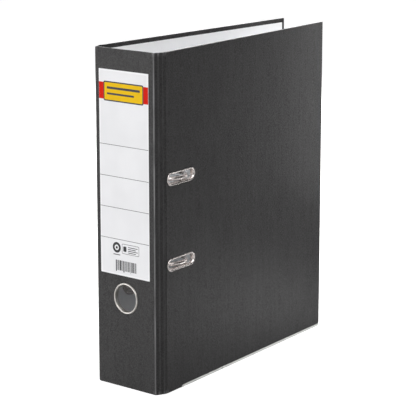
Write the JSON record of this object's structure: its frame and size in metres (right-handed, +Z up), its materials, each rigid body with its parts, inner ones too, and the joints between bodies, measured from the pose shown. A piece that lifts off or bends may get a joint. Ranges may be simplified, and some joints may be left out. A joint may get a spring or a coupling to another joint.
{
  "type": "lever arch file",
  "caption": "Upright board-cased lever arch file with a wide labelled spine, finger ring, slotted front cover, metal bottom rails and a lever-operated arch mechanism inside.",
  "frame": {"origin": "centre of the case's box, on the surface it stands on", "axes": "+Z up along the spine, -Y out of the spine's face, +X towards the front cover"},
  "size_m": [0.0814, 0.2857, 0.318],
  "materials": {
    "cladding": "black embossed covering paper, matt with a slight sheen",
    "lining": "smooth light grey lining paper",
    "label": "matt printed paper",
    "nickel": "bright nickel plate",
    "rail": "bright plated sheet steel",
    "spring": "spring steel",
    "black_plastic": "moulded, satin"
  },
  "bodies": {
    "back_cover": {"back_cover_board": "cladding", "back_cover_lining": "lining", "back_edge_rail": "rail", "base_plate": "nickel", "plate_rivet_1": "nickel", "plate_rivet_2": "nickel", "plate_rivet_3": "nickel", "plate_rivet_4": "nickel", "upper_post": "nickel", "lower_post": "nickel", "lever_pin": "nickel", "lever_spring": "spring"},
    "back_strip": {"back_hinge_strip": "cladding"},
    "spine": {"spine_board": "cladding", "spine_lining": "lining", "spine_label": "label", "finger_ring": "nickel"},
    "front_strip": {"front_hinge_strip": "cladding"},
    "front_cover": {"front_cover_board": "cladding", "front_cover_lining": "lining", "front_edge_rail": "rail", "upper_slot_eyelet": "nickel", "lower_slot_eyelet": "nickel"},
    "arches": {"arch_wire": "nickel"},
    "lever": {"lever_arm": "nickel", "lever_grip": "black_plastic", "roller_pin": "nickel"},
    "roller": {"lever_roller": "black_plastic"},
    "compressor": {"compressor_bar": "nickel", "upper_compressor_bush": "black_plastic", "lower_compressor_bush": "black_plastic", "compressor_latch": "black_plastic"}
  },
  "joints": [
    {"name": "back_strip_hinge", "type": "hinge", "parent": "back_cover", "child": "back_strip", "pos_m": [-0.03998, -0.13164, 0.159], "axis": [0, 0, -1], "range_deg": [0, 23.6]},
    {"name": "spine_hinge", "type": "hinge", "parent": "back_strip", "child": "spine", "pos_m": [-0.0355, -0.1419, 0.159], "axis": [0, 0, -1], "range_deg": [0, 66.4]},
    {"name": "front_strip_hinge", "type": "hinge", "parent": "spine", "child": "front_strip", "pos_m": [0.0355, -0.1419, 0.159], "axis": [0, 0, -1], "range_deg": [0, 66.4]},
    {"name": "front_cover_hinge", "type": "hinge", "parent": "front_strip", "child": "front_cover", "pos_m": [0.03998, -0.13164, 0.159], "axis": [0, 0, -1], "range_deg": [0, 29.4]},
    {"name": "lever_hinge", "type": "hinge", "parent": "back_cover", "child": "lever", "pos_m": [-0.02326, -0.10867, 0.1871], "axis": [0, -1, 0], "range_deg": [0, 95]},
    {"name": "arch_hinge", "type": "hinge", "parent": "back_cover", "child": "arches", "pos_m": [-0.03328, -0.12667, 0.1601], "axis": [0, 0, -1], "range_deg": [0, 47.5]},
    {"name": "roller_spin", "type": "hinge", "parent": "lever", "child": "roller", "pos_m": [-0.02748, -0.10867, 0.17804], "axis": [0, 1, 0], "continuous": true},
    {"name": "compressor_slide", "type": "slide", "parent": "back_cover", "child": "compressor", "axis": [1, 0, 0], "range_m": [0, 0.038]}
  ],
  "couplings": [
    {"joint": "back_strip_hinge", "follows": "spine_hinge", "ratio": 0.3554},
    {"joint": "front_strip_hinge", "follows": "front_cover_hinge", "ratio": 2.2585},
    {"joint": "lever_hinge", "follows": "spine_hinge", "ratio": 1.4307},
    {"joint": "arch_hinge", "follows": "spine_hinge", "ratio": 0.71535}
  ]
}
